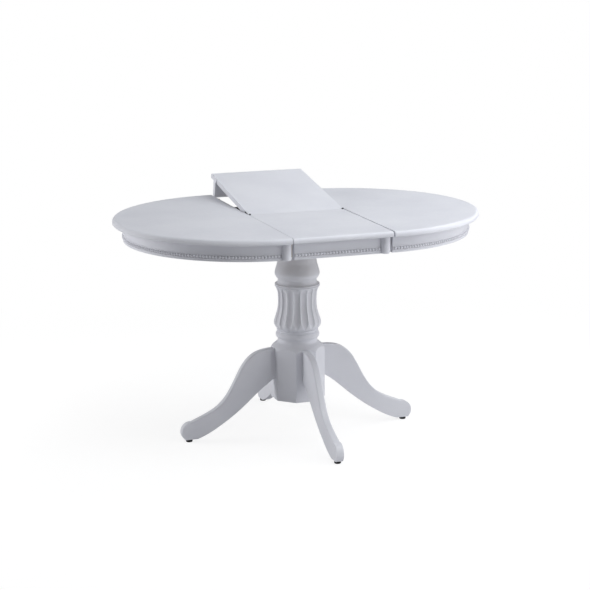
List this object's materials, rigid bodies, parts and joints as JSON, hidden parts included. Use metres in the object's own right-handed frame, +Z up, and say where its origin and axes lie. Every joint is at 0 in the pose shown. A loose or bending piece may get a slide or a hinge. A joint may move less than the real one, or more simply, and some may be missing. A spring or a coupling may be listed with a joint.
{
  "type": "extending table",
  "caption": "Round pedestal dining table whose tops pull apart on steel slides for a two-piece folding leaf, on a turned fluted column with scrolled legs.",
  "frame": {"origin": "on the floor, under the middle of the column", "axes": "+X the way the tops pull apart, +Y towards the raised half of the leaf, +Z up"},
  "size_m": [1.2248, 0.89, 0.8255],
  "materials": {
    "white_paint": "satin white paint on wood",
    "bare_wood": "planed, unfinished",
    "beech": "planed, unfinished",
    "slide_steel": "black lacquer",
    "zinc_steel": "zinc plated",
    "hinge_steel": "darkened",
    "glide_plastic": "moulded"
  },
  "bodies": {
    "base": {"bearer_left": "bare_wood", "bearer_right": "bare_wood", "column": "white_paint", "glides": "glide_plastic", "hub": "white_paint", "leaf_front": "white_paint", "leaf_front_apron": "white_paint", "leaf_front_bead": "white_paint", "leaf_front_corner_blocks": "bare_wood", "leaf_front_post": "white_paint", "leaf_hinge_fixed": "hinge_steel", "leaf_pad": "bare_wood", "leg_dowels": "beech", "leg_front": "white_paint", "leg_left": "white_paint", "leg_rear": "white_paint", "leg_right": "white_paint", "pivot_board": "bare_wood", "pivot_bolt": "zinc_steel", "pivot_nut": "zinc_steel", "pivot_plate": "zinc_steel", "plate_screws": "zinc_steel", "rail_front": "slide_steel", "rail_rear": "slide_steel", "rail_screws": "zinc_steel", "swivel_plate": "zinc_steel", "tie_nuts": "zinc_steel", "tie_rod": "zinc_steel", "tie_washers": "zinc_steel", "top_plate": "bare_wood"},
    "left_half": {"left_apron": "white_paint", "left_bead": "white_paint", "left_corner_blocks": "bare_wood", "left_dowels": "beech", "left_post": "white_paint", "left_runner_front": "slide_steel", "left_runner_rear": "slide_steel", "left_runner_screws": "zinc_steel", "left_top": "white_paint"},
    "right_half": {"right_apron": "white_paint", "right_bead": "white_paint", "right_corner_blocks": "bare_wood", "right_dowels": "beech", "right_post": "white_paint", "right_runner_front": "slide_steel", "right_runner_rear": "slide_steel", "right_runner_screws": "zinc_steel", "right_top": "white_paint"},
    "leaf_rear_half": {"leaf_hinge_moving": "hinge_steel", "leaf_rear": "white_paint", "leaf_rear_apron": "white_paint", "leaf_rear_bead": "white_paint", "leaf_rear_corner_blocks": "bare_wood", "leaf_rear_post": "white_paint"}
  },
  "joints": [
    {"name": "left_top_slide", "type": "slide", "parent": "base", "child": "left_half", "axis": [-1, 0, 0], "range_m": [0, 0.05]},
    {"name": "right_top_slide", "type": "slide", "parent": "base", "child": "right_half", "axis": [1, 0, 0], "range_m": [-0.004, 0.05]},
    {"name": "leaf_fold", "type": "hinge", "parent": "base", "child": "leaf_rear_half", "pos_m": [0, 0, 0.75], "axis": [1, 0, 0], "range_deg": [-10, 168.5]}
  ]
}
